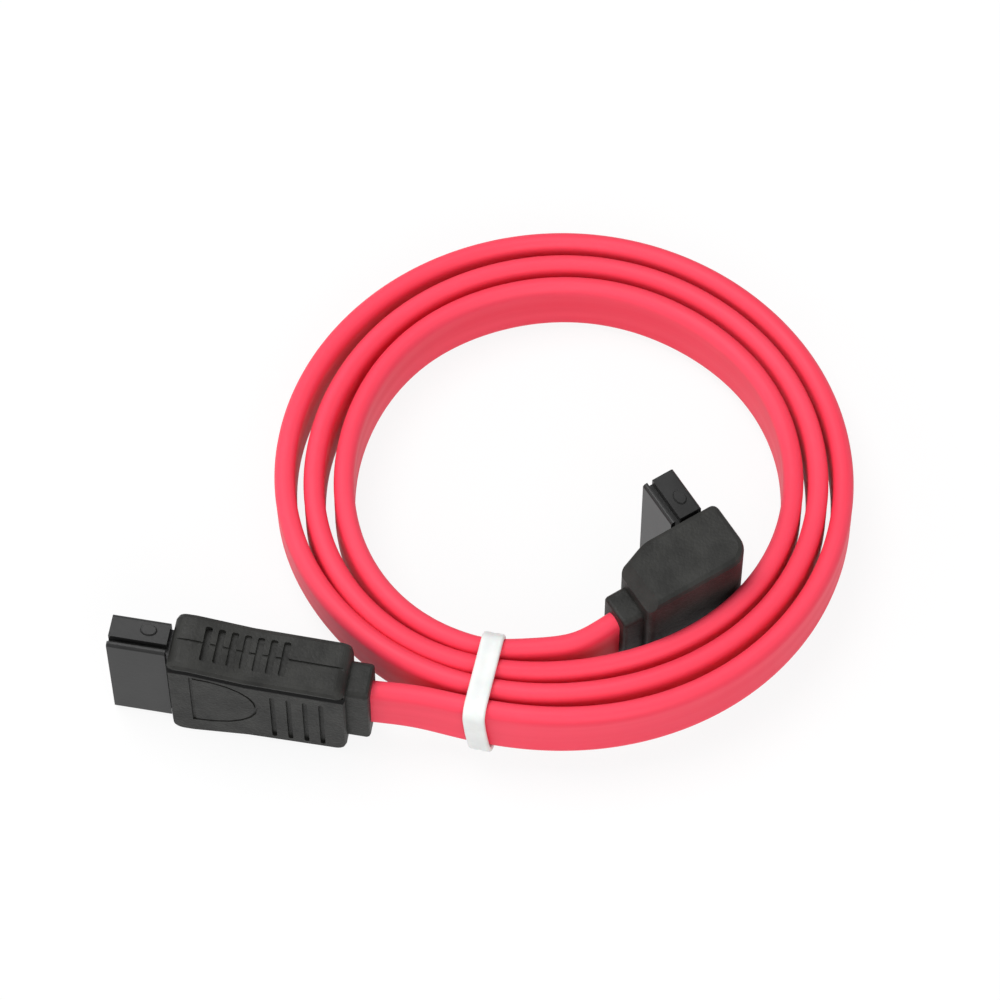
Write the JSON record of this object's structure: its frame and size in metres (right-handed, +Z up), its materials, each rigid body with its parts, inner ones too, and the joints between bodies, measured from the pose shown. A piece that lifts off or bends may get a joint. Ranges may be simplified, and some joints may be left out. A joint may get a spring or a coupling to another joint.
{
  "type": "sata data cable",
  "caption": "Flat red SATA data cable with a straight plug and a right-angle plug, coiled in a ring and held by a white tie.",
  "frame": {"origin": "middle of the whole part's footprint, on the surface it lies on", "axes": "+X from the straight plug towards the ring, +Y away from the plugs' side of the ring, +Z up"},
  "size_m": [0.075, 0.0598, 0.0144],
  "materials": {
    "jacket": "satin",
    "overmould": "fine texture",
    "housing": "smooth",
    "contact": "gold plated",
    "tie": "smooth"
  },
  "bodies": {
    "root": {"cable_coil": "jacket", "cable_lead_straight": "jacket", "cable_lead_angled": "jacket", "tie_band": "tie", "straight_plug_housing": "housing", "straight_plug_overmould": "overmould", "angled_plug_housing": "housing", "angled_plug_overmould": "overmould", "straight_plug_contact_1": "contact", "straight_plug_contact_2": "contact", "straight_plug_contact_3": "contact", "straight_plug_contact_4": "contact", "straight_plug_contact_5": "contact", "straight_plug_contact_6": "contact", "straight_plug_contact_7": "contact", "angled_plug_contact_1": "contact", "angled_plug_contact_2": "contact", "angled_plug_contact_3": "contact", "angled_plug_contact_4": "contact", "angled_plug_contact_5": "contact", "angled_plug_contact_6": "contact", "angled_plug_contact_7": "contact"}
  },
  "joints": []
}
